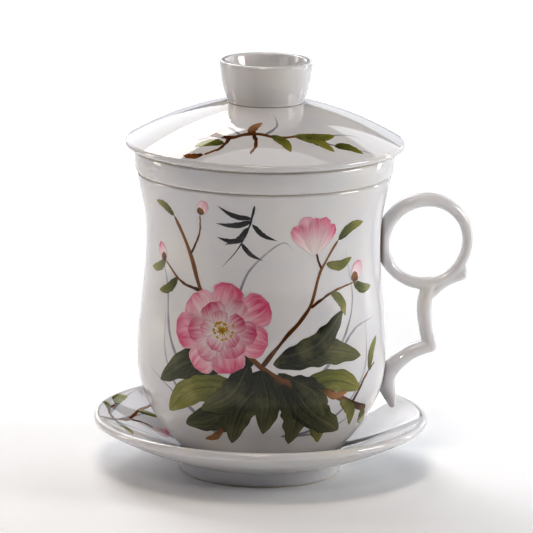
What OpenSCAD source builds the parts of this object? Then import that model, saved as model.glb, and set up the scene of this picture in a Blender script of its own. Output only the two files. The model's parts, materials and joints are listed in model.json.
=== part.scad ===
// Lidded porcelain tea mug with a lift-out infuser, on its saucer.
// Every piece is drawn where it stands when the set is closed: Z is up, the saucer's
// foot stands on Z = 0 round the origin, and the mug's handle points along +X.

/* [Saucer] */
// Diameter over the rim
saucer_d = 118; // [108:1:130]
// Height of the rim above the table
saucer_h = 20; // [17:0.5:24]
// Thickness of the dish
saucer_wall = 3; // [2.4:0.1:4]
// How far the dish sags below a straight cone
dish_sag = 0.9; // [0.4:0.1:2]
// Outside diameter of the foot ring on the table
saucer_foot_d = 57; // [50:1:64]
// Height of the foot ring under the dish
saucer_foot_h = 5; // [4:0.5:6.5]
// Width of the foot ring on the table
saucer_foot_w = 3.4; // [2.5:0.1:5]
// Depth of the round seat that the mug's foot stands in
seat_depth = 0.8; // [0.4:0.1:1.5]

/* [Mug] */
// Height from the foot to the rim
mug_h = 100.5; // [94:0.5:115]
// Outside diameter at the rim
mug_rim_d = 89; // [86:0.5:92]
// Height of the waist above the mug's foot
mug_waist_z = 75; // [66:1:80]
// Outside diameter at the belly
mug_belly_d = 87.8; // [85:0.5:94]
// Height of the belly above the mug's foot
mug_belly_z = 36; // [32:1:42]
// Outside diameter of the foot ring
mug_foot_d = 55; // [50:1:60]
// Height of the foot ring
mug_foot_h = 2.4; // [1.8:0.1:3.5]
// Width of the foot ring where it stands
mug_foot_w = 3.2; // [2.4:0.1:4.5]
// Thickness of the wall
mug_wall = 3; // [2.4:0.1:3.6]
// Thickness of the floor
mug_floor = 4; // [3:0.5:6]

/* [Handle] */
// Width of the finger hole
finger_hole_d = 27; // [23:0.5:30]
// Thickness of the finger ring where it meets the mug
ring_t = 5.3; // [4.2:0.1:6]
// Thickness of the finger ring on the side away from the mug
ring_slim = 3.7; // [3.2:0.1:4.2]
// How much the finger ring slims between the wall and the stem
ring_dip = 1.2; // [0:0.1:1.5]
// Height of the finger ring's centre above the mug's foot
ring_z = 72.7; // [69:0.1:77]
// How deep the ring and the stem are luted into the wall
lute = 0.6; // [0.4:0.1:1.2]
// Thickness of the stem below the ring
stem_t = 5.2; // [4.2:0.1:5.8]
// Width of the stem where it is luted to the wall
joint_t = 6.6; // [6:0.1:7.2]
// Height of the elbow above the mug's foot
elbow_z = 35; // [32:0.1:38]
// How far the elbow stands out past the wall
elbow_out = 17.8; // [15:0.1:20]
// Height above the mug's foot where the stem meets the wall
joint_z = 24; // [21:0.5:26]
// How far the tail hangs below that joint
tail_drop = 10; // [7:0.5:12]
// How far the thumb spur reaches out past the ring's centre
spur_out = 13.6; // [10:0.1:16]
// Rise of the thumb spur from its root on the stem
spur_rise = 7.2; // [5:0.1:9]

/* [Infuser] */
// How far the collar stands out past the mug's rim
collar_lap = 1.2; // [0.5:0.1:3]
// Height of the collar between the mug's rim and the lid
collar_h = 7.8; // [6.5:0.1:10]
// Width of the collar's top, where the lid rests
collar_w = 4.4; // [3.6:0.1:5]
// Outside diameter at the top of the basket
basket_d = 70; // [64:1:72]
// Clearance between the basket and the mug's wall at the waist
basket_gap = 3.2; // [2.4:0.1:5]
// Depth of the basket below the mug's rim
basket_depth = 62; // [50:1:70]
// Taper of the basket's wall, in degrees
basket_taper = 2; // [0:0.5:3]
// Thickness of the infuser's wall
infuser_wall = 2.6; // [2.2:0.1:3]
// Diameter of the strainer holes
hole_d = 2.4; // [1.8:0.1:3]
// Distance between strainer holes
hole_pitch = 6.6; // [5.5:0.1:9]
// Rings of strainer holes round the floor's middle hole
floor_rings = 3; // [1:1:3]
// Rows of strainer holes up the wall
wall_rows = 3; // [1:1:4]

/* [Lid] */
// How far the lip stands out past the collar
lid_lap = 3.2; // [2.2:0.1:5]
// Height of the lip from its seat to the crown's edge
lip_h = 3.2; // [2.6:0.1:4]
// Rise of the crown from the lip to the knob
lid_rise = 13.6; // [10:0.2:18]
// How far the crown swells out past a straight cone
crown_bulge = 1.5; // [0.4:0.1:2]
// Thickness of the crown
lid_wall = 3; // [2.4:0.1:3.6]
// Depth of the skirt inside the collar
skirt_h = 6; // [4:0.5:6.5]
// Thickness of the skirt
skirt_w = 2.8; // [2:0.1:3.2]

/* [Knob] */
// Diameter over the knob's open rim
knob_rim_d = 32.4; // [29:0.2:36]
// Diameter where the knob stands on the lid
knob_foot_d = 27.2; // [24:0.2:28.4]
// Height of the knob
knob_h = 14.7; // [12:0.1:18]
// How far the knob's side swells out past a straight cone
knob_swell = 0.5; // [0:0.1:1]
// Thickness of the knob's wall
knob_wall = 2.6; // [2:0.1:3.4]
// Thickness of the knob's floor
knob_floor = 4; // [3:0.5:6]

/* [Fit] */
// Radial clearance between pieces that lift out of each other
fit_gap = 0.6; // [0.4:0.1:1]

/* [Hidden] */

$fn = 96;
curve_steps = 14; // straight lengths along one curve of a profile
round_steps = 5; // straight lengths round an edge
edge_r = 1; // usual rounding of a porcelain edge
soft_edge = 0.5; // rounding where a piece is wiped clean of glaze
foot_flare = 1.2; // how far a foot ring widens towards the piece it carries
foot_web = 1; // how far a floor hangs down inside its foot ring

// Heights at which the pieces stand on each other
well_z = saucer_foot_h + saucer_wall; // floor of the dish
seat_z = well_z - seat_depth; // under the mug
rim_z = seat_z + mug_h; // mug's rim, under the infuser's collar
lid_z = rim_z + collar_h; // collar's top, under the lid's lip
knob_z = lid_z + lip_h + lid_rise; // top of the crown, under the knob

// Diameters that follow from what a piece fits round or rests on
mug_waist_d = basket_d + 2 * (basket_gap + mug_wall);
collar_d = mug_rim_d + 2 * collar_lap;
lid_d = collar_d + 2 * lid_lap;

function lerp(a, b, t) = a + (b - a) * t;
function ease(t) = t * t * (3 - 2 * t);
function unit(v) = v / norm(v);
function reversed(path) = [for (i = [len(path) - 1 : -1 : 0]) path[i]];

// Points on a circle round c from angle a0 to a1
function arc(c, r, a0, a1, n = round_steps) =
    [for (i = [0 : n]) c + r * [cos(lerp(a0, a1, i / n)), sin(lerp(a0, a1, i / n))]];

// Points on the arc from p to q that swells to the left of that direction by sag
function bow(p, q, sag, n = curve_steps) =
    let (d = q - p, side = [-d[1], d[0]] / norm(d))
    [for (i = [0 : n]) let (t = i / n) p + d * t + side * sag * 4 * t * (1 - t)];

// Points on the S-shaped curve from p up to q
function swing(p, q, n = curve_steps) =
    [for (i = [0 : n]) [lerp(p[0], q[0], ease(i / n)), lerp(p[1], q[1], i / n)]];

// The path moved sideways by d, to its left for d > 0
function beside(path, d) =
    let (last = len(path) - 1)
    [for (i = [0 : last])
        let (run = path[min(i + 1, last)] - path[max(i - 1, 0)])
        path[i] + d * unit([-run[1], run[0]])];

module turned(profile) rotate_extrude() polygon(profile);

// Profile of a foot ring from the middle of the floor above it out to its foot's outside
function foot_ring(d, h, w) =
    let (inside = d / 2 - w)
    [[0, h - foot_web], [inside - foot_web, h - foot_web], [inside, soft_edge], [inside + soft_edge, 0],
        [d / 2 - soft_edge, 0], [d / 2, soft_edge]];

// ---- Saucer ----

seat_r = mug_foot_d / 2 + fit_gap;
seat_lip = 1; // flat between the seat and the dish
seat_break = 0.2; // rounding of the seat's edge

// Underside of the dish, from the foot ring out to the rim
rim_tilt = 25; // lean of the dish's face at the rim
rim_r = saucer_wall / 2;
rim_mid = [saucer_d / 2 - rim_r, saucer_h - rim_r];
dish_under = bow([saucer_foot_d / 2 + foot_flare, saucer_foot_h],
    rim_mid + rim_r * [sin(rim_tilt), -cos(rim_tilt)], -dish_sag);

// Face of the dish, from the rim in to the seat
dish_face = [for (p = reversed(beside(dish_under, saucer_wall)))
    if (p[1] > well_z + seat_break && p[0] > seat_r + seat_lip && p[0] < rim_mid[0] - rim_r) p];

module saucer() {
    color("white")
        turned(concat(
            foot_ring(saucer_foot_d, saucer_foot_h, saucer_foot_w),
            dish_under,
            arc(rim_mid, rim_r, rim_tilt - 75, rim_tilt + 90, 2 * round_steps),
            dish_face,
            [[seat_r + seat_lip, well_z], [seat_r, well_z - seat_break], [seat_r, seat_z], [0, seat_z]]
        ));
}

// ---- Mug ----

mug_hip_r = mug_foot_d / 2 + foot_flare; // where the belly starts above the foot ring

// Outside radius of the mug at a height above its foot
function mug_r(z) =
    z < mug_belly_z
        ? let (t = max(0, (z - mug_foot_h) / (mug_belly_z - mug_foot_h)))
            mug_belly_d / 2 - (mug_belly_d / 2 - mug_hip_r) * pow(1 - t, 2.3)
    : z < mug_waist_z
        ? lerp(mug_belly_d, mug_waist_d, ease((z - mug_belly_z) / (mug_waist_z - mug_belly_z))) / 2
    : lerp(mug_waist_d, mug_rim_d, ease(pow((z - mug_waist_z) / (mug_h - mug_waist_z), 1.5))) / 2;

mug_steps = 44;
mug_side = [for (i = [0 : mug_steps])
    let (z = lerp(mug_foot_h, mug_h - edge_r, i / mug_steps)) [mug_r(z), z]];

mug_floor_z = mug_foot_h - foot_web + mug_floor;
mug_cove = 5; // width of the rounding between the wall and the floor inside
mug_bore = [for (p = reversed(beside(mug_side, mug_wall))) if (p[1] > mug_floor_z + 0.4 * mug_cove) p];
mug_bore_r = mug_rim_d / 2 - mug_wall; // inside radius at the rim

module mug_body() {
    deep = mug_bore[len(mug_bore) - 1];
    color("white")
        translate([0, 0, seat_z])
            turned(concat(
                foot_ring(mug_foot_d, mug_foot_h, mug_foot_w),
                mug_side,
                arc([mug_rim_d / 2 - edge_r, mug_h - edge_r], edge_r, 0, 90),
                arc([mug_bore_r + edge_r, mug_h - edge_r], edge_r, 90, 180),
                mug_bore,
                bow(deep, [deep[0] - mug_cove, mug_floor_z], -0.12 * mug_cove, round_steps),
                [[0, mug_floor_z]]
            ));
}

// ---- Handle ----

finger_r = finger_hole_d / 2;
finger_oval = 0.95; // height of the finger hole over its width
slim_angle = -10; // direction in which the ring is slim, in degrees
dip_angle = -135; // direction in which it dips between the wall and the stem
ring_x = mug_r(ring_z) + finger_r + ring_t - lute;
under = ring_z - finger_r * finger_oval - ring_t * 0.45; // middle of the ring's tube at its bottom
elbow = [mug_r(elbow_z) + elbow_out, elbow_z];
joint = [mug_r(joint_z) + joint_t / 2 - lute, joint_z];
spur_t = stem_t * 0.78; // thickness of the thumb spur

limb_sides = 20;
limb_oval = 1.1; // how much deeper than wide a limb is

// A smooth path through stations of [x, z, width]
function through(s, steps = 5) =
    [for (i = [0 : len(s) - 2]) for (k = [0 : steps - (i == len(s) - 2 ? 0 : 1)])
        let (t = k / steps, a = s[max(i - 1, 0)], b = s[i], c = s[i + 1], d = s[min(i + 2, len(s) - 1)])
        0.5 * (2 * b + (c - a) * t + (2 * a - 5 * b + 4 * c - d) * t * t
            + (3 * b - a - 3 * c + d) * t * t * t)];

// One oval section of half-width w, square to the run of the path at that place
function section(at, run, w) =
    let (side = unit([-run[1], run[0]]))
    [for (k = [0 : limb_sides - 1])
        let (a = 360 * k / limb_sides)
        [at[0] + side[0] * w * cos(a), -min(w, stem_t / 2) * limb_oval * sin(a), at[1] + side[1] * w * cos(a)]];

// Sections of a half-round end: before the start of the path for way = -1, past its end for way = 1
function dome(at, run, w, way) =
    [for (i = [1 : round_steps])
        let (a = 90 * (way < 0 ? round_steps + 0.6 - i : i - 0.6) / round_steps)
        section(at + unit(run) * way * w * sin(a), run, w * cos(a))];

// A solid skinned over sections; a closed one runs from its last section back to its first
module skinned(rings, closed = false) {
    top = len(rings) - 1;
    polyhedron(
        points = [for (r = rings) each r],
        faces = concat(
            closed ? [] : [[for (k = [0 : limb_sides - 1]) k],
                [for (k = [limb_sides - 1 : -1 : 0]) top * limb_sides + k]],
            [for (i = [0 : closed ? top : top - 1]) for (k = [0 : limb_sides - 1])
                let (m = (k + 1) % limb_sides, a = i * limb_sides, b = (i + 1) % (top + 1) * limb_sides)
                each [[a + k, b + k, a + m], [b + k, b + m, a + m]]]
        ));
}

// A limb of the handle through stations of [x, z, width], with half-round ends
module limb(stations) {
    path = through(stations);
    last = len(path) - 1;
    function spot(i) = [path[i][0], path[i][1]];
    function run(i) = spot(min(i + 1, last)) - spot(max(i - 1, 0));
    skinned(concat(
        dome(spot(0), run(0), path[0][2] / 2, -1),
        [for (i = [0 : last]) section(spot(i), run(i), path[i][2] / 2)],
        dome(spot(last), run(last), path[last][2] / 2, 1)));
}

// The finger ring, slim on the outside and thick against the wall
module finger_ring(steps = 60) {
    skinned([for (i = [0 : steps - 1])
        let (a = -360 * i / steps,
            t = lerp(ring_t, ring_slim, pow((1 + cos(a - slim_angle)) / 2, 2))
                - ring_dip * pow(max(0, cos(a - dip_angle)), 4),
            r = finger_r * lerp(1, finger_oval, pow(sin(a), 2)) + t / 2)
        section([ring_x + r * cos(a), ring_z + r * sin(a)], [sin(a), -cos(a)], t / 2)], closed = true);
}

// Stations of the limbs, placed by shares of each limb's own reach
function on_stem(x, down, thick) = [x, lerp(under, elbow[1], down), stem_t * thick];
function on_bar(out, down, thick) = [lerp(elbow[0], joint[0], out), lerp(elbow[1], joint[1], down), thick];
function on_tail(t, aside, thick) = [joint[0] + joint_t * aside, joint[1] - tail_drop * t, thick];
function on_spur(out, up, thick) =
    [ring_x + spur_out * out, under - stem_t * 0.85 + spur_rise * up, spur_t * thick];

stem_stations = [on_stem(ring_x + stem_t * 0.3, 0, 0.84), on_stem(ring_x + stem_t * 0.03, 0.23, 1.02),
    on_stem(ring_x - stem_t * 0.03, 0.44, 1), on_stem(elbow[0] - stem_t * 0.3, 0.74, 0.92),
    on_stem(elbow[0], 1, 0.96)];
bar_stations = [on_bar(0, 0, stem_t * 0.96), on_bar(0.23, 0.08, stem_t * 1.02), on_bar(0.485, 0.24, stem_t * 1.08),
    on_bar(0.76, 0.55, lerp(stem_t, joint_t, 0.6)), on_bar(0.95, 0.925, joint_t)];
tail_stations = [on_tail(0.3, 0.12, lerp(stem_t, joint_t, 0.6)), on_tail(0.7, 0.32, stem_t * 0.86),
    on_tail(1, 0.45, stem_t * 0.5)];
spur_stations = [on_spur(0.07, 0, 1), on_spur(0.25, 0.28, 1), on_spur(0.515, 0.68, 1),
    on_spur(0.78, 0.875, 0.94), on_spur(1, 1, 0.9)];

module mug_handle() {
    color("white")
        translate([0, 0, seat_z])
            difference() {
                union() {
                    finger_ring();
                    limb(stem_stations);
                    limb(concat(bar_stations, tail_stations));
                    limb(spur_stations);
                }
                turned(concat([[0, 0]], mug_side, [[0, mug_h]]));
            }
}

// ---- Infuser ----

collar_r = collar_d / 2;
collar_flare = 0.4; // how far the collar widens from its foot to its top
collar_foot_r = collar_r - collar_flare; // outside radius where the collar meets the mug's rim
collar_in = collar_r - collar_w; // inside radius at the collar's top
neck_r = mug_bore_r - fit_gap; // outside radius where it drops into the mug's rim
neck_in = neck_r - infuser_wall;
neck_h = 5; // length of the neck inside the mug's rim
neck_foot_r = mug_r(mug_h - neck_h) - mug_wall - fit_gap; // outside radius at the neck's foot
shoulder_h = 15; // depth below the mug's rim at which the neck has narrowed to the basket
collar_lean = atan((collar_in - neck_in) / collar_h); // slope of the collar's inside
basket_r = basket_d / 2;
basket_foot_r = basket_r - (basket_depth - shoulder_h) * tan(basket_taper);
basket_edge = 6; // rounding round the foot of the basket
hole_l = 4 * infuser_wall; // length of the tool that cuts a hole

// Inside radius of the collar at a height above the mug's rim
function collar_bore(z) = lerp(neck_in, collar_in, z / collar_h);

// Outside of the basket, from the middle of its floor up to the neck
basket_side = concat(
    arc([basket_foot_r - basket_edge, basket_edge - basket_depth], basket_edge, -90, 0),
    swing([basket_r, -shoulder_h], [neck_foot_r, -neck_h]));

// Holes on circles round the middle of the floor, at the vertices of a honeycomb-like grid
module floor_holes() {
    cylinder(d = hole_d, h = hole_l, center = true);
    for (k = [1 : floor_rings], i = [0 : 6 * k - 1])
        rotate(60 * i / k + 15 * (k % 2)) translate([k * hole_pitch, 0, 0])
            cylinder(d = hole_d, h = hole_l, center = true);
}

// Holes in rows round the foot of the wall, each row turned half a pitch from the last
module wall_holes() {
    count = floor(2 * PI * basket_foot_r / (hole_pitch * 1.25));
    for (row = [0 : wall_rows - 1], i = [0 : count - 1])
        rotate((i + row % 2 / 2) * 360 / count)
            translate([basket_foot_r - infuser_wall / 2, 0, basket_edge + hole_pitch * (row + 0.5)])
                rotate([0, 90, 0]) cylinder(d = hole_d, h = hole_l, center = true);
}

module infuser() {
    color("white")
        translate([0, 0, rim_z])
            difference() {
                turned(concat(
                    [[0, -basket_depth]],
                    basket_side,
                    [[neck_r, 0]],
                    arc([collar_foot_r - edge_r, edge_r], edge_r, -90, 0),
                    arc([collar_r - edge_r, collar_h - edge_r], edge_r, 0, 90),
                    arc([collar_in + edge_r, collar_h - edge_r], edge_r, 90, 180 - collar_lean),
                    [[neck_in, 0]],
                    reversed(swing([basket_r - infuser_wall, -shoulder_h],
                        [neck_foot_r - infuser_wall, -neck_h])),
                    arc([basket_foot_r - basket_edge, basket_edge - basket_depth],
                        basket_edge - infuser_wall, 0, -90),
                    [[0, infuser_wall - basket_depth]]
                ));
                translate([0, 0, -basket_depth]) {
                    floor_holes();
                    wall_holes();
                }
            }
}

// ---- Lid ----

lip_r = 1.1; // rounding of the lip
skirt_top_r = collar_bore(collar_h) - fit_gap; // outside radius of the skirt under the lip
skirt_foot_r = collar_bore(collar_h - skirt_h) - fit_gap;

// Top of the crown, from the lip in to the knob's seat
crown = bow([lid_d / 2 - lip_r / 2, lip_h], [knob_foot_d / 2 + seat_break, lip_h + lid_rise], -crown_bulge);
crown_under = [for (p = reversed(beside(crown, lid_wall))) if (p[0] < skirt_top_r - skirt_w - edge_r) p];

module lid_shell() {
    color("white")
        translate([0, 0, lid_z])
            turned(concat(
                [[0, crown_under[0][1]]],
                crown_under,
                [[skirt_top_r - skirt_w, soft_edge]],
                arc([skirt_foot_r - skirt_w + edge_r, edge_r - skirt_h], edge_r, 180, 270),
                arc([skirt_foot_r - edge_r, edge_r - skirt_h], edge_r, -90, -collar_lean),
                [[skirt_top_r, 0], [collar_foot_r, 0]],
                arc([lid_d / 2 - lip_r, lip_h - lip_r], lip_r, -50, 60),
                crown,
                [[0, lip_h + lid_rise]]
            ));
}

// ---- Knob ----

knob_foot_r = knob_foot_d / 2;
knob_rim_r = knob_rim_d / 2;
knob_lean = atan((knob_rim_r - knob_foot_r) / knob_h); // flare of the knob's wall
knob_cove = 3; // rounding between the wall and the floor inside

module lid_knob() {
    color("white")
        translate([0, 0, knob_z])
            turned(concat(
                [[0, 0]],
                arc([knob_foot_r - soft_edge, soft_edge], soft_edge, -90, 0),
                bow([knob_foot_r, 2 * soft_edge], [knob_rim_r, knob_h - edge_r], -knob_swell),
                arc([knob_rim_r - edge_r, knob_h - edge_r], edge_r, 0, 90),
                arc([knob_rim_r - knob_wall + edge_r, knob_h - edge_r], edge_r, 90, 180 - knob_lean),
                arc([knob_foot_r - knob_wall - 2 / 3 * knob_cove, knob_floor + knob_cove], knob_cove, 0, -90),
                [[0, knob_floor]]
            ));
}

saucer();
mug_body();
mug_handle();
infuser();
lid_shell();
lid_knob();
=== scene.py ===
import json
import math
import random

import bmesh
import bpy
from mathutils import Matrix, Vector

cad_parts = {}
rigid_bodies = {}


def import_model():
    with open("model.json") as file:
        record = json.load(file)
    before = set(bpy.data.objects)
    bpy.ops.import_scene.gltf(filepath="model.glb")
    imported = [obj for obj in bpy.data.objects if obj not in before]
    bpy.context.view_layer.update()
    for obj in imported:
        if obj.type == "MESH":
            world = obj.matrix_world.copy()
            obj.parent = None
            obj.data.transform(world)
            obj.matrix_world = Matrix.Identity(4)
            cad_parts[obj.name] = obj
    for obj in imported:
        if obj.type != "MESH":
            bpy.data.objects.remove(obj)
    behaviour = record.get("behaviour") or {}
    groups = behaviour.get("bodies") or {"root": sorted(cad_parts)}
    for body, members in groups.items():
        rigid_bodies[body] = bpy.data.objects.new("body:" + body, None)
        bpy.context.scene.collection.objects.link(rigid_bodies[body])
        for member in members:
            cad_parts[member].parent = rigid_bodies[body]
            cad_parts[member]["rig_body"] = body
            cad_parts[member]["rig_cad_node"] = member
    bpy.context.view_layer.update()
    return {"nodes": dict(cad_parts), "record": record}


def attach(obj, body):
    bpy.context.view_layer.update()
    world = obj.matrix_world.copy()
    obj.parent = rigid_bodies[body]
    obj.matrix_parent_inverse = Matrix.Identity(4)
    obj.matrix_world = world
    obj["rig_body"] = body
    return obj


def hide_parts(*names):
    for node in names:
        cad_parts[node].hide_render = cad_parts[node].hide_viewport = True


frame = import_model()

mm = 0.001
mergeGap = 0.004 * mm        # points nearer than this become one
packedGap = 0.001 * mm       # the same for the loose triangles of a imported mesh


def pick(*pieces):
    if bpy.context.object and bpy.context.object.mode != "OBJECT":
        bpy.ops.object.mode_set(mode="OBJECT")
    bpy.ops.object.select_all(action="DESELECT")
    for piece in pieces:
        piece.select_set(True)
    bpy.context.view_layer.objects.active = pieces[0]


def openMesh(piece, select="SELECT"):
    pick(piece)
    bpy.ops.object.mode_set(mode="EDIT")
    bpy.ops.mesh.select_mode(type="FACE")
    bpy.ops.mesh.select_all(action=select)


def closeMesh():
    bpy.ops.object.mode_set(mode="OBJECT")


def applyModifier(piece, kind, **settings):
    pick(piece)
    modifier = piece.modifiers.new(kind.title(), kind)
    for name, value in settings.items():
        setattr(modifier, name, value)
    bpy.ops.object.modifier_apply(modifier=modifier.name)


def copyNode(node, name):
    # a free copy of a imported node, merged, and without the marks that tie the node to its body
    piece = frame["nodes"][node].copy()
    piece.data = piece.data.copy()
    piece.name = name
    piece.parent = None
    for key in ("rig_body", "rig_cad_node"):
        del piece[key]
    piece.data.materials.clear()
    bpy.context.scene.collection.objects.link(piece)
    openMesh(piece)
    bpy.ops.mesh.customdata_custom_splitnormals_clear()
    bpy.ops.mesh.remove_doubles(threshold=packedGap)
    closeMesh()
    return piece


def smoothByAngle(piece, angle=32):
    pick(piece)
    bpy.ops.object.shade_smooth_by_angle(angle=math.radians(angle))


def lerp(a, b, t):
    return a + (b - a) * t


def ease(t):
    t = min(max(t, 0), 1)
    return t * t * (3 - 2 * t)


def between(value, places, results):
    # the result at value on the broken line through places and results, places going up
    for (a, b), (p, q) in zip(zip(places, places[1:]), zip(results, results[1:])):
        if value <= b:
            return lerp(p, q, max(0, (value - a) / max(b - a, 1e-9)))
    return results[-1]


def colour(hexText):
    def linear(c):
        return c / 12.92 if c <= 0.04045 else ((c + 0.055) / 1.055) ** 2.4
    return tuple(linear(int(hexText[i:i + 2], 16) / 255) for i in (1, 3, 5)) + (1,)


def addNode(tree, kind, settings=None, **inputs):
    # an input is a value, a socket or a node; it is named with _ for a space, or i0, i1 ... by its place:
    # a Mix takes its two colours as i6 and i7, and a Map Range runs from i1 to i2 in and from i3 to i4 out
    node = tree.nodes.new("ShaderNode" + kind)
    for name, value in (settings or {}).items():
        if name == "stops":
            ramp = node.color_ramp.elements
            while len(ramp) < len(value):
                ramp.new(0.5)
            for element, (place, shade) in zip(ramp, value):
                element.position, element.color = place, colour(shade)
        else:
            setattr(node, name, value)
    for name, value in inputs.items():
        socket = node.inputs[int(name[1:])] if name[1:].isdigit() else node.inputs[name.replace("_", " ")]
        if isinstance(value, bpy.types.Node):
            value = next(output for output in value.outputs if output.enabled)
        if isinstance(value, bpy.types.NodeSocket):
            tree.links.new(value, socket)
        else:
            socket.default_value = value
    return node


def newMaterial(name):
    material = bpy.data.materials.new(name)
    material.use_nodes = True
    material.node_tree.nodes.clear()
    return material, material.node_tree


glaze = dict(ior=1.6, roughness=0.035,
             waviness=0.05, waveLength=11 * mm, waveDepth=0.2 * mm,          # how unevenly the glaze has run
             glow=0.18, glowDepth=1.3 * mm, glowTint=(1.0, 0.86, 0.74))      # the light that the body lets in


def addGlaze(tree, tint, rough=glaze["roughness"]):
    # a feldspar glaze fired clear: mirror gloss with a slow, faint waviness, over a body that lets a little light in
    where = addNode(tree, "TexCoord").outputs["Object"]
    waves = addNode(tree, "TexNoise", Vector=where, Scale=1 / glaze["waveLength"], Detail=1.0, Roughness=0.4)
    bump = addNode(tree, "Bump", Strength=glaze["waviness"], Distance=glaze["waveDepth"], Height=waves)
    shader = addNode(tree, "BsdfPrincipled", Base_Color=tint, IOR=glaze["ior"], Roughness=rough, Normal=bump,
                     Subsurface_Weight=glaze["glow"], Subsurface_Scale=glaze["glowDepth"],
                     Subsurface_Radius=glaze["glowTint"])
    addNode(tree, "OutputMaterial", Surface=shader)


porcelain = dict(body="#e2e1e2", thin="#dedee1", warm="#e5e3e0", cloudSize=22 * mm,
                 # specks sit in cells of this spacing, as wide as this share of a cell, in cells above this chance
                 iron="#8d7a66", speckSpacing=4.05 * mm, speckSize=0.05, speckChance=0.97, speckStrength=0.3,
                 biscuit="#ddd3c4", grit="#b9a78f", grainSize=0.45 * mm, biscuitRoughness=0.62,
                 # the brown of the painted shade and stain along the handle's joint with the wall
                 lute="#73533c")


def glazedPorcelain(name, bareRing=None, jointShaded=False):
    # hard-paste porcelain, cast and fired white under a clear glaze: a cool white with slow clouds where the
    # glaze lies thicker, rare iron specks, and a ring of dull bare biscuit where the piece stood in the kiln
    material, tree = newMaterial(name)
    where = addNode(tree, "TexCoord").outputs["Object"]
    clouds = addNode(tree, "TexNoise", Vector=where, Scale=1 / porcelain["cloudSize"], Detail=2.0)
    whites = [(0.3, porcelain["thin"]), (0.5, porcelain["body"]), (0.72, porcelain["warm"])]
    tint = addNode(tree, "ValToRGB", dict(stops=whites), Fac=clouds)
    cells = addNode(tree, "TexVoronoi", Vector=where, Scale=1 / porcelain["speckSpacing"])
    centre = cells.outputs["Distance"]
    small = addNode(tree, "Math", dict(operation="LESS_THAN"), i0=centre, i1=porcelain["speckSize"])
    chance = addNode(tree, "SeparateColor", Color=cells.outputs["Color"])
    rare = addNode(tree, "Math", dict(operation="GREATER_THAN"), i0=chance, i1=porcelain["speckChance"])
    speck = addNode(tree, "Math", dict(operation="MULTIPLY"), i0=small, i1=rare)
    faint = addNode(tree, "Math", dict(operation="MULTIPLY"), i0=speck, i1=porcelain["speckStrength"])
    tint = addNode(tree, "Mix", dict(data_type="RGBA"), i0=faint, i6=tint, i7=colour(porcelain["iron"]))
    rough = glaze["roughness"]
    # painted shade in the crease along the handle's joint with the wall, laid on together with a brown stain
    if jointShaded:
        edge = addNode(tree, "Attribute", dict(attribute_name="lute")).outputs["Fac"]
        tint = addNode(tree, "Mix", dict(data_type="RGBA"), i0=edge, i6=tint, i7=colour(porcelain["lute"]))
    if bareRing:
        low, high, inner, outer = bareRing
        axes = addNode(tree, "SeparateXYZ", Vector=where)
        height = axes.outputs["Z"]
        flat = addNode(tree, "CombineXYZ", X=axes.outputs["X"], Y=axes.outputs["Y"])
        radius = addNode(tree, "VectorMath", dict(operation="LENGTH"), i0=flat)
        zone = 1.0
        for measure, operation, limit in ((height, "GREATER_THAN", low), (height, "LESS_THAN", high),
                                          (radius, "GREATER_THAN", inner), (radius, "LESS_THAN", outer)):
            inside = addNode(tree, "Math", dict(operation=operation), i0=measure, i1=limit * mm)
            zone = addNode(tree, "Math", dict(operation="MULTIPLY"), i0=inside, i1=zone)
        grit = addNode(tree, "TexNoise", Vector=where, Scale=1 / porcelain["grainSize"], Detail=3.0)
        clays = [(0.35, porcelain["biscuit"]), (0.8, porcelain["grit"])]
        clay = addNode(tree, "ValToRGB", dict(stops=clays), Fac=grit)
        tint = addNode(tree, "Mix", dict(data_type="RGBA"), i0=zone, i6=tint, i7=clay)
        rough = addNode(tree, "MapRange", i0=zone, i3=glaze["roughness"], i4=porcelain["biscuitRoughness"])
    addGlaze(tree, tint, rough)
    return material


turning = dict(steps=224,                                # faces round the axis
               longest=1.2 * mm, shortest=0.4 * mm,      # a stretch between these becomes two, and a longer one more
               corner=30,                                # a turn sharper than this stays a corner
               crumb=0.02 * mm,                          # a stretch shorter than this is left out
               cutGap=0.0001 * mm, axisGap=0.01 * mm)    # how near the cut and the axis still count as on them


def halfSection(node):
    # the piece's own outline: its merged copy is cut on the plane through the axis, and the cut is walked along
    piece = copyNode(node, "section")
    openMesh(piece)
    bpy.ops.mesh.bisect(plane_co=(0, 0, 0), plane_no=(0, 1, 0), clear_inner=True, clear_outer=True,
                        threshold=turning["cutGap"])
    closeMesh()
    points = [Vector((v.co.x, v.co.z)) for v in piece.data.vertices]
    near = {i: [] for i, p in enumerate(points) if p.x > -turning["axisGap"]}
    for edge in piece.data.edges:
        a, b = edge.vertices
        if a in near and b in near:
            near[a].append(b)
            near[b].append(a)
    bpy.data.objects.remove(piece)
    path = [min((i for i in near if len(near[i]) == 1), key=lambda i: points[i].y)]
    while True:
        onward = [i for i in near[path[-1]] if i not in path[-2:]]
        if not onward:
            break
        path.append(onward[0])
    outline = [Vector((max(points[i].x, 0), points[i].y)) for i in path]
    # a flat floor has no point on the axis, so the outline is led in to it
    start, end = ([Vector((0, p.y))] if p.x > 0 else [] for p in (outline[0], outline[-1]))
    return start + outline + end


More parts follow.
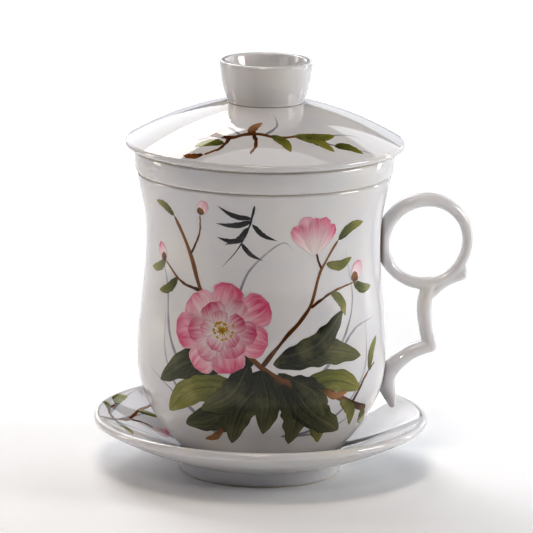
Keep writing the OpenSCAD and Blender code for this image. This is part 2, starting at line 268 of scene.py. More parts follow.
def smoothOutline(outline):
    # straight lengths become curves through the same points, and corners stay
    clean = [outline[0]]
    for p in outline[1:]:
        if (p - clean[-1]).length > turning["crumb"]:
            clean.append(p)
    corners = [0]
    for i in range(1, len(clean) - 1):
        if (clean[i] - clean[i - 1]).angle(clean[i + 1] - clean[i]) > math.radians(turning["corner"]):
            corners.append(i)
    corners.append(len(clean) - 1)
    result = [clean[0]]
    for first, last in zip(corners, corners[1:]):
        run = clean[first:last + 1]
        run = [run[0] * 2 - run[1]] + run + [run[-1] * 2 - run[-2]]
        for p0, p1, p2, p3 in zip(run, run[1:], run[2:], run[3:]):
            gap, before, after = (p2 - p1).length, (p1 - p0).length, (p3 - p2).length
            # tangents weighed by the lengths beside them, so that short and long stretches meet smoothly
            m1 = ((p1 - p0) / before * gap + (p2 - p1) / gap * before) / (before + gap)
            m2 = ((p2 - p1) / gap * after + (p3 - p2) / after * gap) / (after + gap)
            count = max(1 if gap < turning["shortest"] else 2, math.ceil(gap / turning["longest"]))
            for k in range(1, count + 1):
                t = k / count
                result.append(p1 * (2 * t ** 3 - 3 * t ** 2 + 1) + m1 * gap * (t ** 3 - 2 * t ** 2 + t)
                              + p2 * (3 * t ** 2 - 2 * t ** 3) + m2 * gap * (t ** 3 - t ** 2))
    # the curves swing a hair past their points, so they are kept within the outline's own height and width
    low, high, wide = min(p.y for p in clean), max(p.y for p in clean), max(p.x for p in clean)
    return [Vector((min(p.x, wide), min(max(p.y, low), high))) for p in result]


def spinPiece(name, outline):
    mesh = bpy.data.meshes.new(name)
    mesh.from_pydata([(p.x, 0, p.y) for p in outline], [(i, i + 1) for i in range(len(outline) - 1)], [])
    piece = bpy.data.objects.new(name, mesh)
    bpy.context.scene.collection.objects.link(piece)
    pick(piece)
    bpy.ops.object.mode_set(mode="EDIT")
    bpy.ops.mesh.select_all(action="SELECT")
    bpy.ops.mesh.spin(steps=turning["steps"], angle=2 * math.pi, center=(0, 0, 0), axis=(0, 0, 1))
    bpy.ops.mesh.select_all(action="SELECT")
    bpy.ops.mesh.remove_doubles(threshold=mergeGap)
    bpy.ops.mesh.normals_make_consistent(inside=False)
    closeMesh()
    smoothByAngle(piece)
    return piece


outlines = {}
dressed = {}
turned = dict(saucer="saucerDish", mug_body="mugBody", lid_shell="lidShell", lid_knob="lidKnob")
for node, name in turned.items():
    outlines[node] = smoothOutline(halfSection(node))
    dressed[node] = spinPiece(name, outlines[node])
    print("turned", name, len(dressed[node].data.polygons), "faces")


def outsideOf(outline):
    # the part of an outline from its lowest to its highest point, as heights and radii
    low = min(range(len(outline)), key=lambda i: outline[i].y)
    high = max(range(len(outline)), key=lambda i: outline[i].y)
    return [p.y for p in outline[low:high + 1]], [p.x for p in outline[low:high + 1]]


def topOf(outline):
    # the part of an outline from its widest point in to the axis, as radii going up and heights
    wide = max(range(len(outline)), key=lambda i: outline[i].x)
    return [p.x for p in reversed(outline[wide:])], [p.y for p in reversed(outline[wide:])]


wallHeights, wallRadii = outsideOf(outlines["mug_body"])

handleWork = dict(
    rootGap=0.12 * mm, rootFacing=0.7,        # a face this near the wall and turned this much to it is a root's end
    rootDepth=1.6 * mm,                       # how far the roots are let into the wall
    voxel=0.32 * mm, rounds=4,                # the casting's grain, and how long it is sponged all over
    junctionRounds=26, junctionReach=1.6,     # how long, and how far out, the junctions are sponged
    jointShadeReach=(0.8 * mm, 2.7 * mm),           # how far off the wall the painted joint shade and stain show fully, and where they end
    # x, z and reach in mm of the places where the casting's parts run into each other
    junctions=[(56.4, 62.2, 3.2), (64.0, 60.8, 4.0), (70.0, 66.6, 4.6), (60.8, 64.0, 2.6)],
    # x, z and radius in mm of the slip that fills the crease between the ring and the thumb spur
    webs=[(66.9, 65.0, 1.8), (68.7, 66.0, 1.8), (70.6, 67.4, 1.75), (72.0, 68.9, 1.8),
          (72.2, 66.6, 1.45), (73.0, 68.0, 1.6), (73.1, 69.0, 1.6), (73.2, 70.1, 1.4)])


def shapeHandle():
    # a slip cast piece: its creases fill with slip and are sponged round before it is joined to the wall with slip
    handle = copyNode("mug_handle", "mugHandle")
    openMesh(handle, "DESELECT")
    mesh = bmesh.from_edit_mesh(handle.data)
    for face in mesh.faces:
        middle = face.calc_center_median()
        r = math.hypot(middle.x, middle.y)
        inward = -(face.normal.x * middle.x + face.normal.y * middle.y) / r
        offWall = abs(r - between(middle.z, wallHeights, wallRadii))
        face.select = offWall < handleWork["rootGap"] and inward > handleWork["rootFacing"]
    bmesh.update_edit_mesh(handle.data)
    bpy.ops.mesh.extrude_region_move(TRANSFORM_OT_translate={"value": (-handleWork["rootDepth"], 0, 0)})
    closeMesh()
    fillings = []
    for x, z, radius in handleWork["webs"]:
        bpy.ops.mesh.primitive_ico_sphere_add(subdivisions=3, radius=radius * mm, location=(x * mm, 0, z * mm))
        fillings.append(bpy.context.object)
    pick(handle, *fillings)
    bpy.ops.object.join()
    applyModifier(handle, "REMESH", mode="VOXEL", voxel_size=handleWork["voxel"], adaptivity=0.0)
    applyModifier(handle, "SMOOTH", factor=0.5, iterations=handleWork["rounds"])
    group = handle.vertex_groups.new(name="junctions")
    for vertex in handle.data.vertices:
        near = max(1 - math.hypot(vertex.co.x - x * mm, vertex.co.z - z * mm) / (reach * mm)
                   for x, z, reach in handleWork["junctions"])
        if near > 0:
            group.add([vertex.index], ease(near * handleWork["junctionReach"]), "REPLACE")
    applyModifier(handle, "SMOOTH", factor=0.5, iterations=handleWork["junctionRounds"], vertex_group="junctions")
    handle.vertex_groups.clear()
    # painted shade in the crease where the handle meets the wall, mixed with a brown stain where the glaze runs thin
    # over the slip joint
    lute = handle.data.attributes.new("lute", "FLOAT", "POINT")
    near, far = handleWork["jointShadeReach"]
    for i, vertex in enumerate(handle.data.vertices):
        gap = math.hypot(vertex.co.x, vertex.co.y) - between(vertex.co.z, wallHeights, wallRadii)
        lute.data[i].value = ease((far - gap) / (far - near))
    pick(handle)
    bpy.ops.object.shade_smooth()
    return handle


dressed["mug_handle"] = shapeHandle()
print("shaped mugHandle", len(dressed["mug_handle"].data.polygons), "faces")
dressed["infuser"] = copyNode("infuser", "strainerCup")
smoothByAngle(dressed["infuser"])
print("merged strainerCup", len(dressed["infuser"].data.polygons), "faces")

# lowest and highest z, smallest and largest radius in mm of the ring that each piece stood on in the kiln
bareRings = dict(saucer=(-0.1, 0.55, 20, 32), mug_body=(7.1, 7.75, 20, 32),
                 infuser=(107.6, 107.85, 40, 46), lid_shell=(115.4, 115.65, 42, 46))
slots = dict(saucer="saucer", mug_body="mug", mug_handle="handle", infuser="infuser",
             lid_shell="lid", lid_knob="knob")
bodyOf = {node: body for body, members in frame["record"]["behaviour"]["bodies"].items() for node in members}

for node, piece in dressed.items():
    finish = glazedPorcelain(slots[node] + "Porcelain", bareRings.get(node), jointShaded=node == "mug_handle")
    piece.data.materials.clear()
    piece.data.materials.append(finish)
    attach(piece, bodyOf[node])
    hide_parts(node)
print("glazed")

view = dict(azimuth=-14, elevation=12.23, roll=0.94, distance=1.782, aimHeight=0.07313, aimAside=0.00124,
            lens=341.8, sensor=36, nearest=0.05)
rightward = Vector((math.cos(math.radians(view["azimuth"])), math.sin(math.radians(view["azimuth"])), 0))
forward = Vector((rightward.y, -rightward.x, 0))

# places in the painting are u and v in mm: on the mug's wall u runs to the right from the line that faces the
# camera and v up from the table, and on the lid and the saucer both run from the axis, v away from the camera
painting = dict(seed=11, cell=1.0 * mm, depth=0.35 * mm,       # the size of a stroke's faces, and how deep it sits
                lift=0.02 * mm, layerLift=0.02 * mm,           # height over the glaze, and for each layer more
                petalStep=0.25, leafStep=0.3,                  # layers from one petal or leaf to the next
                wallRadius=43 * mm,                            # the radius that u is measured round the wall at
                thinnest=0.02, glance=0.01,                    # least half width in mm, and a step along a stroke
                waves=(4, 13), wavePhase=6.3)                  # how fast a stroke's edges waver
# a petal starts at this share of its length from the bloom's centre, and the rest is how unlike two petals are
petalWork = dict(start=0.08, wobble=0.03, turn=7, reach=(0.92, 1.06), width=(0.9, 1.1), bend=0.06, halfBloomBend=0.05)


def onWall(u, v, lift):
    r = between(v, wallHeights, wallRadii)
    slope = (between(v + mm, wallHeights, wallRadii) - between(v - mm, wallHeights, wallRadii)) / (2 * mm)
    turn = u / painting["wallRadius"]
    out = forward * math.cos(turn) + rightward * math.sin(turn)
    return out * r + Vector((0, 0, v)) + (out - Vector((0, 0, slope))).normalized() * lift


def onTop(node):
    radii, heights = topOf(outlines[node])

    def place(u, v, lift):
        flat = rightward * u - forward * v
        r = flat.length
        slope = (between(r + mm, radii, heights) - between(r - mm, radii, heights)) / (2 * mm)
        up = (Vector((0, 0, 1)) - flat / max(r, mm) * slope).normalized()
        return flat + Vector((0, 0, between(r, radii, heights))) + up * lift
    return place


# half-width along a brush stroke, from its root at 0 to its tip at 1
brushes = dict(
    leaf=lambda s: 1.75 * s ** 0.62 * (1 - s) ** 0.78,
    blade=lambda s: 2.1 * s ** 0.6 * (1 - s) ** 1.15,
    petal=lambda s: 1.09 * s ** 0.62 * (1 - s ** 4.2) ** 0.5,
    drop=lambda s: 2.0 * s ** 0.5 * (1 - s) ** 0.5,
    twig=lambda s: min(1, (s / 0.02) ** 0.5) * min(1, ((1 - s) / 0.03) ** 0.5) * lerp(1, 0.5, s),
    hair=lambda s: min(1, (s / 0.06) ** 0.5) * (1 - s) ** 0.7,
)
strokes = {}
grids = {}
hand = random.Random(painting["seed"])


def along(points, s):
    # a smooth line through points, at share s of its way
    place = s * (len(points) - 1)
    i = min(int(place), len(points) - 2)
    t = place - i
    b, c = points[i], points[i + 1]
    a = points[i - 1] if i > 0 else b * 2 - c
    d = points[i + 2] if i + 2 < len(points) else c * 2 - b
    return ((b * 2) + (c - a) * t + (a * 2 - b * 5 + c * 4 - d) * t * t + (b * 3 - a - c * 3 + d) * t ** 3) * 0.5


def brush(piece, place, points, width, shape="leaf", layer=0, wobble=0.05):
    # one touch of the brush: a small grid laid along a line through points, as wide as the brush's shape says
    points = [Vector(p) * mm for p in points]
    length = sum((q - p).length for p, q in zip(points, points[1:]))
    size = (max(5, math.ceil(length / painting["cell"])), max(2, math.ceil(width * mm / painting["cell"])))
    if size not in grids:
        bpy.ops.mesh.primitive_grid_add(x_subdivisions=size[0], y_subdivisions=size[1], size=1, calc_uvs=True)
        grids[size] = bpy.context.object
    touch = grids[size].copy()
    touch.data = grids[size].data.copy()
    bpy.context.scene.collection.objects.link(touch)
    wash = touch.data.attributes.new("wash", "FLOAT_COLOR", "POINT")
    tone = (hand.random(), hand.random(), hand.random(), 1)
    waves = [[(hand.uniform(*painting["waves"]), hand.uniform(0, painting["wavePhase"])) for k in range(3)]
             for side in range(2)]
    for i, vertex in enumerate(touch.data.vertices):
        s, t = vertex.co.x + 0.5, vertex.co.y * 2
        run = along(points, min(s + painting["glance"], 1)) - along(points, max(s - painting["glance"], 0))
        aside = Vector((-run.y, run.x)).normalized()
        rough = 1 + wobble * sum(math.sin(f * s * 3 + p) for f, p in waves[t > 0])
        half = max(width / 2 * brushes[shape](s) * rough, painting["thinnest"]) * mm
        spot = along(points, s) + aside * half * t
        vertex.co = place(spot.x, spot.y, painting["lift"] + painting["layerLift"] * layer)
        wash.data[i].color = tone
    strokes.setdefault(piece, []).append(touch)


def leaf(piece, place, root, tip, width, bend=0.12, layer=0, shape="leaf", wobble=0.04):
    root, tip = Vector(root), Vector(tip)
    run = tip - root
    middle = (root + tip) / 2 + Vector((-run.y, run.x)) * bend
    brush(piece, place, [root, middle, tip], width, shape, layer, wobble)


def paintLines(piece, place, rows, shape, layer, wobble):
    for points, width in rows:
        brush(piece, place, points, width, shape, layer, wobble)


def paintLeaves(piece, place, rows, layer, step=0, shape="leaf", wobble=0.04):
    for root, tip, width, bend in rows:
        leaf(piece, place, root, tip, width, bend, layer, shape, wobble)
        layer += step


def paintBloom(piece, place, centre, rings, squash, turn, layer):
    for count, reach, width, start in rings:
        for k in range(count):
            angle = math.radians(start + 360 * k / count + hand.uniform(-petalWork["turn"], petalWork["turn"]))
            far = reach * hand.uniform(*petalWork["reach"])
            tip = Vector((math.cos(angle), math.sin(angle) * squash)) * far
            tip.rotate(Matrix.Rotation(math.radians(turn), 2))
            wide = width * hand.uniform(*petalWork["width"])
            bend = hand.uniform(-petalWork["bend"], petalWork["bend"])
            root = Vector(centre) + tip * petalWork["start"]
            leaf(piece, place, root, Vector(centre) + tip, wide, bend,
                 layer=layer + k * painting["petalStep"], shape="petal", wobble=petalWork["wobble"])
        layer += count * painting["petalStep"]
    return layer


# a row of grass, a branch or a twig is (points, width), and a row of leaves is (root, tip, width, bend), where
# bend is a share of the length, to the left where it is above 0
mugPainting = dict(
    grass=[([(-16, 20), (-28, 32), (-37, 47), (-39, 63)], 1.5),
           ([(-20, 24), (-34, 35), (-47, 42)], 1.2),
           ([(-27, 40), (-36, 56), (-40, 74), (-49, 88)], 1.3),
           ([(-10, 66), (-5, 80), (6, 90), (11, 88)], 1.1),
           ([(12, 20), (29, 27), (41, 42), (43, 60)], 1.5),
           ([(20, 42), (30, 54), (36, 68), (33, 86)], 1.3),
           ([(8, 21), (28, 22), (46, 31)], 1.2),
           ([(28, 50), (37, 58), (49, 60)], 1.2)],
    branch=[([(47, 27), (36, 31), (22, 38), (10, 41), (0, 47), (-14, 61), (-23, 72), (-28, 84), (-35, 97)], 2.6)],
    twigs=[([(0, 47), (9, 58), (17, 67), (22, 80), (29, 90)], 1.5),
           ([(17, 67), (27, 72), (37, 74)], 1.0),
           ([(-23, 72), (-32, 74), (-41, 80)], 1.1),
           ([(22, 80), (19, 89), (20, 96)], 0.8),
           ([(36, 31), (42, 40), (48, 44)], 1.1),
           ([(-28, 84), (-24, 92), (-23, 99)], 0.8)],
    leavesBehind=[((-6, 40), (-38, 27), 15, -0.12),
                  ((12, 38), (40, 36), 13, 0.14),
                  ((8, 37), (26, 17), 13.5, 0.12)],
    darkLeaves=[((2, 46), (-31, 23), 18.5, 0.13),
                ((4, 45), (-12, 17.5), 17, -0.10),
                ((6, 45), (12, 17.5), 16.5, 0.12),
                ((8, 44), (34, 21), 16.5, -0.10),
                ((-2, 49), (-40, 38), 16.5, -0.12),
                ((4, 48), (39, 48), 14.5, 0.10),
                ((6, 50), (31, 65), 12, -0.12),
                ((-4, 48), (-22, 30), 14, 0.14),
                ((10, 43), (24, 28), 12, 0.12),
                ((0, 46), (1, 22), 14, 0.08)],
    twigLeaves=[((29, 90), (41, 95), 5.6, 0.12),
                ((24, 82), (36, 83), 5.2, -0.14),
                ((-41, 80), (-51, 76), 4.8, 0.1),
                ((-34, 75), (-44, 69), 5.2, 0.12),
                ((-35, 97), (-44, 101), 4.4, -0.1),
                ((37, 74), (48, 71), 5.4, -0.12),
                ((44, 42), (50, 53), 5.2, 0.1),
                ((26, 72), (32, 63), 5.0, 0.14),
                ((44, 28), (53, 21), 5.8, -0.12),
                ((30, 33), (40, 22), 6.4, 0.12)],
    # rings are (petals, reach, width, start angle), outer first
    openBloom=dict(centre=(-14, 59), rings=[(7, 18.5, 15.5, 10), (6, 13.2, 11.5, 35), (5, 8.6, 8.4, 5)],
                   squash=0.84, turn=24),
    # the anthers lie at reach to reach + spread from a point this far above the bloom's centre, turn radians apart
    stamens=dict(count=15, turn=2.4, reach=1.4, spread=2.6, scatter=0.37, above=0.6,
                 width=0.55, antherLength=0.9, antherWidth=1.1),
    halfBloomRoot=(19, 85.5),
    halfBloom=[((10.5, 96), 7.5, 5), ((26.5, 96), 7.5, 5), ((14, 99.5), 8, 5.5), ((22.5, 99), 8, 5.5),
               ((18.5, 99), 8.5, 6)],                                # tip, width, layer
    buds=[((37, 74), (41.5, 81), 5.6), ((-23, 99), (-20, 104), 4.2), ((-41, 80), (-45, 86), 4.6)],
    budCup=dict(length=0.45, width=0.7),                             # shares of the bud that its brown cup covers
    bambooStem=[([(-3, 104), (-5, 96), (-9, 88), (-15, 81)], 0.8)],
    bambooLeaves=[((-4, 99), (-16, 103), 2.8, 0.10),
                  ((-4, 98), (-17, 96.5), 3.0, 0.08),
                  ((-5, 96), (-14, 89), 3.0, 0.12),
                  ((-4, 97), (5, 91), 2.6, -0.10),
                  ((-7, 91), (-17, 91.5), 2.6, 0.08),
                  ((-8, 90), (0, 84), 2.4, -0.10)],
    driedLeaves=[((-22, 70), (-31, 60), 4.6, 0.16),
                 ((22, 38), (33, 36), 4.0, -0.16),
                 ((-14, 24), (-24, 18), 3.6, 0.12)])


def paintStamens(layer):
    own = mugPainting["stamens"]
    centre = mugPainting["openBloom"]["centre"]
    for k in range(own["count"]):
        angle = k * own["turn"]
        reach = own["reach"] + own["spread"] * ((k * own["scatter"]) % 1)
        out = Vector((math.cos(angle), math.sin(angle)))
        end = Vector((centre[0], centre[1] + own["above"])) + out * reach
        tip = end + out * own["antherLength"]
        leaf("mugStamens", onWall, centre, end, own["width"], 0.1, layer=layer + 0.5, shape="hair", wobble=0.1)
        leaf("mugStamens", onWall, end, tip, own["antherWidth"], 0, layer=layer + 1, shape="drop", wobble=0.1)


def paintMug():
    # a flowering branch that climbs from the lower right to the upper left, painted from the back to the front
    own = mugPainting
    paintLines("mugGrass", onWall, own["grass"], "hair", layer=0, wobble=0.12)
    paintLines("mugBranch", onWall, own["branch"], "twig", layer=3, wobble=0.12)
    paintLines("mugBranch", onWall, own["twigs"], "twig", layer=3, wobble=0.14)
    paintLeaves("mugPaleLeaves", onWall, own["leavesBehind"], layer=1)
    paintLeaves("mugDarkLeaves", onWall, own["darkLeaves"], layer=1.5, step=painting["leafStep"])
    paintLeaves("mugPaleLeaves", onWall, own["twigLeaves"], layer=4)
    top = paintBloom("mugPetals", onWall, **own["openBloom"], layer=5)
    paintStamens(top)
    for tip, width, layer in own["halfBloom"]:
        bend = hand.uniform(-petalWork["halfBloomBend"], petalWork["halfBloomBend"])
        leaf("mugPetals", onWall, own["halfBloomRoot"], tip, width, bend, layer, "petal", petalWork["wobble"])
    for root, tip, width in own["buds"]:
        leaf("mugPetals", onWall, root, tip, width, 0.05, layer=5, shape="drop", wobble=petalWork["wobble"])
        cup = Vector(root).lerp(Vector(tip), own["budCup"]["length"])
        leaf("mugBranch", onWall, root, cup, width * own["budCup"]["width"], 0.1, layer=6, shape="drop")
    paintLines("mugInk", onWall, own["bambooStem"], "hair", layer=1, wobble=0.1)
    paintLeaves("mugInk", onWall, own["bambooLeaves"], layer=1, shape="blade", wobble=0.06)
    paintLeaves("mugBrownLeaves", onWall, own["driedLeaves"], layer=4, wobble=0.08)


lidPainting = dict(
    twigs=[([(-19, -29), (-12, -33), (-4, -32), (5, -34), (13, -31)], 2.0),
           ([(-12, -33), (-15, -38), (-21, -40)], 1.5),
           ([(-4, -32), (-3, -38), (-5, -43)], 1.5)],
    leaves=[((10, -32), (24, -36), 7.4, 0.12),
            ((13, -31), (24, -26), 6.0, -0.12),
            ((-14, -36), (-24, -34), 5.4, -0.1),
            ((24, -33), (34, -31), 5.6, 0.14),
            ((2, -33), (9, -41), 5.6, 0.12)],
    driedLeaves=[((-5, -33), (-1, -25), 4.8, 0.12),
                 ((-21, -40), (-28, -37), 3.6, 0.1)],
    bud=[((-18, -29.5), (-24, -25), 6.4, 0.06),
         ((-18, -29.5), (-19, -22.5), 5.6, -0.06)],
    grass=[([(8, -33), (18, -30), (28, -23), (33, -21)], 1.2),
           ([(14, -33), (26, -32), (38, -28)], 1.2),
           ([(0, -33), (4, -27), (3, -19)], 1.2),
           ([(-8, -33), (-13, -25), (-12, -18)], 1.2)])


def paintLid():
    own, crown = lidPainting, onTop("lid_shell")
    paintLines("lidTwigs", crown, own["twigs"], "twig", layer=1, wobble=0.16)
    paintLeaves("lidLeaves", crown, own["leaves"], layer=2)
    paintLeaves("lidBrownLeaves", crown, own["driedLeaves"], layer=2, wobble=0.08)
    paintLeaves("lidPetals", crown, own["bud"], layer=3, shape="drop")
    paintLines("lidGrass", crown, own["grass"], "hair", layer=0, wobble=0.1)


saucerPainting = dict(
    twigs=[([(-56, -9), (-52, -1), (-47, 8), (-44, 19), (-39, 29)], 1.7),
           ([(-52, -1), (-54, 7), (-52, 16)], 1.2),
           ([(-47, 8), (-42, 11), (-38, 10)], 1.2)],
    leaves=[((-52, -1), (-45, -12), 5.4, 0.12),
            ((-44, 19), (-36, 21), 4.6, 0.12),
            ((-52, 16), (-48, 27), 5.0, 0.1),
            ((-54, 7), (-57, 15), 3.4, -0.1)],
    buds=[((-38, 10), (-33, 5), 4.4, 0.08),
          ((-38, 10), (-32, 10.5), 4.0, 0.08),
          ((-39, 29), (-36, 36), 4.4, 0.08)],
    grass=[([(-55, -4), (-46, 0), (-38, 1), (-33, -3)], 1.1),
           ([(-50, 3), (-45, 14), (-36, 27)], 1.1),
           ([(-54, 2), (-50, 22), (-44, 36)], 1.1)])


def paintSaucer():
    own, dish = saucerPainting, onTop("saucer")
    paintLines("saucerTwigs", dish, own["twigs"], "twig", layer=1, wobble=0.16)
    paintLeaves("saucerLeaves", dish, own["leaves"], layer=2)
    paintLeaves("saucerPetals", dish, own["buds"], layer=3, shape="drop")
    paintLines("saucerGrass", dish, own["grass"], "hair", layer=0, wobble=0.1)


# across a stroke the measure is 0 at its edges and 0.5 in its middle, and along it 0 at its root and 1 at its tip
brushwork = dict(
    streakRun=1.6, streakApart=40.0,           # streaks along a stroke, and how unlike two strokes' streaks are
    streakSpan=(0.25, 0.75),                   # the noise from the faintest streak to the strongest
    lean=0.14,                                 # how far a stroke's wash may lean to its root or its tip
    rimWidth=0.11, featherWidth=0.10,          # where the pigment gathers, and where it thins out
    midrib=(0.465, 0.49),                      # where the middle vein starts, and where it is full
    ribSlant=0.55, ribSpacing=0.055,           # the side veins
    ribWidth=0.010, ribStrength=0.65, veinStrength=1.6,
    patchSize=9 * mm, patches=(0.45, 0.78))    # the size of the thin places, and the noise that they lie in

# stops run from root to tip, edge is the pigment that gathers at the rim, with pool its share there, pale is the
# thinned pigment, with thin its share in thin places and feather its share at the rim, and veins need a colour
pigments = dict(
    # chrome green over iron: nearly black at the root, dull olive at the tip, with pale scratched veins
    darkLeaf=dict(stops=[(0.0, "#1b1d17"), (0.35, "#2b2e22"), (0.7, "#4b4f34"), (1.0, "#6f7048")],
                  edge="#20221a", pool=0.2, streaks=8, grain=0.6, vein="#84845c", veins=0.45,
                  pale="#83815a", thin=0.6, feather=0.0),
    # copper green with yellow: a sunlit olive with dark veins
    paleLeaf=dict(stops=[(0.0, "#4c5228"), (0.45, "#757839"), (0.8, "#908e46"), (1.0, "#9f9a52")],
                  edge="#3f4521", pool=0.3, streaks=7, grain=0.6, vein="#3a401d", veins=0.6,
                  pale="#b4ad70", thin=0.5, feather=0.0),
    # gold pink: the white body shows at the root, and the tip is a deep rose
    petal=dict(stops=[(0.0, "#f7f0ea"), (0.38, "#f6dfe1"), (0.7, "#ecaebd"), (1.0, "#d8668a")],
               edge="#cf5a80", pool=0.45, streaks=9, grain=0.5, veins=0.0,
               pale="#f3ecec", thin=0.45, feather=0.3),
    # iron brown laid on thickly: dark, with long dry streaks
    bark=dict(stops=[(0.0, "#4a2c18"), (0.5, "#6c4626"), (1.0, "#936536")],
              edge="#3a2112", pool=0.3, streaks=4, grain=0.9, veins=0.0,
              pale="#a98058", thin=0.5, feather=0.3),
    # iron red with ochre: a burnt, uneven brown
    driedLeaf=dict(stops=[(0.0, "#5a3418"), (0.6, "#8c5a2b"), (1.0, "#b07a42")],
                   edge="#4a2a12", pool=0.5, streaks=6, grain=0.6, vein="#4a2a12", veins=0.5,
                   pale="#cfa878", thin=0.5, feather=0.3),
    # a thin wash of cobalt grey: as if seen through mist
    grassWash=dict(stops=[(0.0, "#8f8e98"), (0.6, "#aaa9b2"), (1.0, "#cbcace")],
                   edge="#a09fa9", pool=0.1, streaks=3, grain=0.5, veins=0.0,
                   pale="#e0dfe2", thin=0.6, feather=0.3),
    # manganese black: solid at the root and grey where the brush ran dry
    ink=dict(stops=[(0.0, "#151416"), (0.7, "#29282c"), (1.0, "#504e55")],
             edge="#1a191b", pool=0.3, streaks=5, grain=0.6, veins=0.0,
             pale="#7d7b83", thin=0.45, feather=0.1),
    # antimony yellow: small raised dots with a brown rim
    pollen=dict(stops=[(0.0, "#b98a2c"), (0.6, "#d9b34a"), (1.0, "#e8cf78")],
                edge="#8e6420", pool=0.5, streaks=3, grain=0.4, veins=0.0,
                pale="#f0dfa0", thin=0.3, feather=0.0),
)
softStep = dict(interpolation_type="SMOOTHSTEP")


def overglazeEnamel(name, paint):
    # overglaze enamel laid on with a loaded brush and fired to a gloss: fine streaks along the stroke, a wash that
    # runs from root to tip, a darker rim where the pigment gathers, and paler places where it lies thin
    own = brushwork
    material, tree = newMaterial(name)
    uv = addNode(tree, "SeparateXYZ", Vector=addNode(tree, "TexCoord").outputs["UV"])
    tone = addNode(tree, "Attribute", dict(attribute_name="wash")).outputs["Color"]
    wash = addNode(tree, "SeparateColor", Color=tone)
    aside = addNode(tree, "Math", dict(operation="PINGPONG"), i0=uv.outputs["Y"], i1=0.5)
    streakPlace = addNode(
        tree, "CombineXYZ",
        X=addNode(tree, "Math", dict(operation="MULTIPLY"), i0=uv.outputs["X"], i1=own["streakRun"]),
        Y=addNode(tree, "Math", dict(operation="MULTIPLY"), i0=uv.outputs["Y"], i1=float(paint["streaks"])),
        Z=addNode(tree, "Math", dict(operation="MULTIPLY"), i0=wash.outputs[0], i1=own["streakApart"]))
    hairs = addNode(tree, "TexNoise", Vector=streakPlace, Scale=1.0, Detail=4.0, Roughness=0.6)
    faint, strong = own["streakSpan"]
    grain = paint["grain"] / 2
    shift = addNode(tree, "MapRange", i0=hairs, i1=faint, i2=strong, i3=-grain, i4=grain)
    lean = addNode(tree, "MapRange", i0=wash.outputs[1], i3=-own["lean"], i4=own["lean"])
    run = addNode(tree, "Math", dict(operation="ADD"), i0=uv.outputs["X"], i1=shift)
    run = addNode(tree, "Math", dict(operation="ADD", use_clamp=True), i0=run, i1=lean)
    tint = addNode(tree, "ValToRGB", dict(stops=paint["stops"]), Fac=run)
    rim = addNode(tree, "MapRange", softStep, Value=aside, i1=0.0, i2=own["rimWidth"], i3=paint["pool"], i4=0.0)
    tint = addNode(tree, "Mix", dict(data_type="RGBA"), i0=rim, i6=tint, i7=colour(paint["edge"]))
    if paint["veins"]:
        edge, full = own["midrib"]
        midrib = addNode(tree, "MapRange", softStep, Value=aside, i1=edge, i2=full, i3=0.0, i4=1.0)
        slant = addNode(tree, "Math", dict(operation="MULTIPLY_ADD"), i0=aside, i1=own["ribSlant"],
                        i2=uv.outputs["X"])
        ribs = addNode(tree, "Math", dict(operation="PINGPONG"), i0=slant, i1=own["ribSpacing"])
        ribs = addNode(tree, "MapRange", softStep, Value=ribs, i1=0.0, i2=own["ribWidth"],
                       i3=own["ribStrength"], i4=0.0)
        lines = addNode(tree, "Math", dict(operation="MAXIMUM"), i0=midrib, i1=ribs)
        broken = addNode(tree, "Math", dict(operation="MULTIPLY"), i0=lines, i1=hairs)
        strength = paint["veins"] * own["veinStrength"]
        veined = addNode(tree, "Math", dict(operation="MULTIPLY"), i0=broken, i1=strength)
        tint = addNode(tree, "Mix", dict(data_type="RGBA"), i0=veined, i6=tint, i7=colour(paint["vein"]))
    where = addNode(tree, "TexCoord").outputs["Object"]
    patches = addNode(tree, "TexNoise", Vector=where, Scale=1 / own["patchSize"], Detail=3.0)
    first, last = own["patches"]
    dry = addNode(tree, "MapRange", softStep, Value=patches, i1=first, i2=last, i3=0.0, i4=paint["thin"])
    feather = addNode(tree, "MapRange", softStep, Value=aside, i1=0.0, i2=own["featherWidth"],
                      i3=paint["feather"], i4=0.0)
    thinned = addNode(tree, "Math", dict(operation="MAXIMUM"), i0=dry, i1=feather)
    tint = addNode(tree, "Mix", dict(data_type="RGBA"), i0=thinned, i6=tint, i7=colour(paint["pale"]))
    addGlaze(tree, tint)
    return material


paintMug()
paintLid()
paintSaucer()
# a painted piece is named for its carrier and then its motif
carriers = dict(mug="mug_body", lid="lid_shell", saucer="saucer")
paints = dict(DarkLeaves="darkLeaf", PaleLeaves="paleLeaf", Leaves="paleLeaf", Petals="petal", Branch="bark",
              Twigs="bark", BrownLeaves="driedLeaf", Grass="grassWash", Ink="ink", Stamens="pollen")
enamels = {name: overglazeEnamel(name + "Enamel", paint) for name, paint in pigments.items()}
for name, touches in strokes.items():
    carrier = next(word for word in carriers if name.startswith(word))
    pick(*touches)
    bpy.ops.object.join()
    piece = bpy.context.object
    piece.name = name
    openMesh(piece)
    bpy.ops.mesh.remove_doubles(threshold=mergeGap)
    closeMesh()
    applyModifier(piece, "SOLIDIFY", thickness=painting["depth"], offset=-1)
    smoothByAngle(piece)
    piece.data.materials.clear()
    piece.data.materials.append(enamels[paints[name[len(carrier):]]])
    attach(piece, bodyOf[carriers[carrier]])
    print("painted", name, len(touches), "strokes", len(piece.data.polygons), "faces")
for grid in grids.values():
    bpy.data.objects.remove(grid)

studio = dict(floorRadius=1.2, floor="#fafbfc", fibre="#f9fafb", fibreSize=6.25 * mm,
              floorRoughness=0.8, floorGloss=0.1, room="#f7f8fa", roomStrength=0.92,
              lampAim=0.07, exposure=0.1, gamma=0.74)
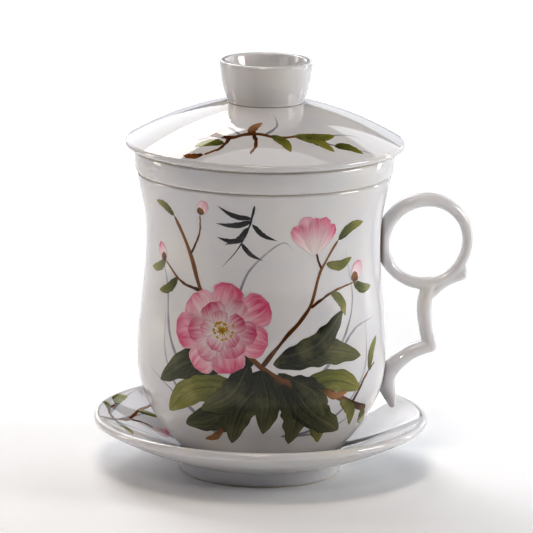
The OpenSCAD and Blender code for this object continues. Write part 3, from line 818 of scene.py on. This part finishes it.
# bearing in degrees to the right of straight behind the set, distance, height of the middle, width and tallness
# in metres, watts, colour
softboxes = dict(
    keyBox=(188, 0.62, 1.22, 0.36, 0.36, 4.0, "#fff2e4"),
    topBox=(0, 0.10, 1.60, 1.2, 1.2, 5.8, "#f6f9ff"),
    skylight=(-20, 1.00, 1.00, 0.8, 0.5, 5.8, "#fffdfa"),
    backWindow=(-22, 1.50, 0.80, 0.78, 1.3, 5.7, "#f6f9ff"),
    backWall=(38, 1.70, 0.70, 1.2, 1.2, 6.2, "#f4f8ff"),
    backLow=(15, 1.30, 0.25, 0.6, 0.4, 0.7, "#f4f8ff"),
    rightBox=(98, 1.10, 0.36, 0.45, 0.40, 5.2, "#ffffff"),
    rightStrip=(62, 0.60, 0.12, 0.06, 0.24, 0.30, "#ffffff"),
    backCard=(-10, 1.60, 0.16, 0.64, 0.34, 0.60, "#f4f8ff"),
    leftCard=(-64, 1.80, 0.50, 1.80, 1.00, 1.8, "#f6f9ff"),
    rightCard=(72, 2.00, 0.50, 1.20, 1.00, 1.0, "#f6f9ff"),
    leftFill=(-125, 1.10, 0.30, 0.50, 0.40, 0.8, "#f8f8ff"),
    leftStrip=(-75, 0.50, 0.20, 0.10, 0.35, 0.46, "#fff4ec"),
    frontSpot=(184, 1.15, 0.74, 0.13, 0.11, 1.2, "#fff3e6"),
)


def layFloor():
    bpy.ops.mesh.primitive_circle_add(vertices=128, radius=studio["floorRadius"], fill_type="NGON")
    floor = bpy.context.object
    floor.name = "studioFloor"
    material, tree = newMaterial("mattPaperSweep")      # uncoated background paper: even, pale and dull
    where = addNode(tree, "TexCoord").outputs["Object"]
    fibres = addNode(tree, "TexNoise", Vector=where, Scale=1 / studio["fibreSize"], Detail=2.0)
    tint = addNode(tree, "ValToRGB", dict(stops=[(0.3, studio["floor"]), (0.8, studio["fibre"])]), Fac=fibres)
    shader = addNode(tree, "BsdfPrincipled", Base_Color=tint, Roughness=studio["floorRoughness"],
                     Specular_IOR_Level=studio["floorGloss"])
    addNode(tree, "OutputMaterial", Surface=shader)
    floor.data.materials.append(material)


def paintRoom():
    # the room is a pale backdrop, and the lamps do the lighting
    world = bpy.data.worlds.new("softRoom")
    bpy.context.scene.world = world
    world.use_nodes = True
    background = world.node_tree.nodes["Background"]
    background.inputs["Color"].default_value = colour(studio["room"])
    background.inputs["Strength"].default_value = studio["roomStrength"]
    for kind in ("diffuse", "glossy", "transmission", "scatter"):
        setattr(world.cycles_visibility, kind, False)


def hangLamps():
    for name, (bearing, distance, height, width, tallness, watts, tone) in softboxes.items():
        bearing = math.radians(bearing)
        place = (rightward * math.sin(bearing) - forward * math.cos(bearing)) * distance + Vector((0, 0, height))
        bpy.ops.object.light_add(type="AREA", location=place)
        box = bpy.context.object
        box.name = name
        box.data.shape = "RECTANGLE"
        box.data.size, box.data.size_y = width, tallness
        box.data.energy = watts
        box.data.color = colour(tone)[:3]
        box.rotation_euler = (Vector((0, 0, studio["lampAim"])) - place).to_track_quat("-Z", "Y").to_euler()
        box.visible_camera = False


def aimCamera():
    azimuth, elevation = math.radians(view["azimuth"]), math.radians(view["elevation"])
    back = forward * math.cos(elevation) + Vector((0, 0, math.sin(elevation)))
    place = Vector((0, 0, view["aimHeight"])) + rightward * view["aimAside"] + back * view["distance"]
    bpy.ops.object.camera_add(location=place)
    camera = bpy.context.object
    camera.data.lens = view["lens"]
    camera.data.sensor_width = view["sensor"]
    camera.data.clip_start = view["nearest"]
    camera.matrix_world = (Matrix.Translation(place) @ Matrix.Rotation(azimuth, 4, "Z")
                           @ Matrix.Rotation(math.pi / 2 - elevation, 4, "X")
                           @ Matrix.Rotation(math.radians(view["roll"]), 4, "Z"))
    bpy.context.scene.camera = camera


layFloor()
paintRoom()
hangLamps()
aimCamera()
# a crisp studio print: whites just reach paper white and the shades are held back a little
printed = bpy.context.scene.view_settings
printed.view_transform, printed.exposure, printed.gamma = "Standard", studio["exposure"], studio["gamma"]
print("studio and camera")
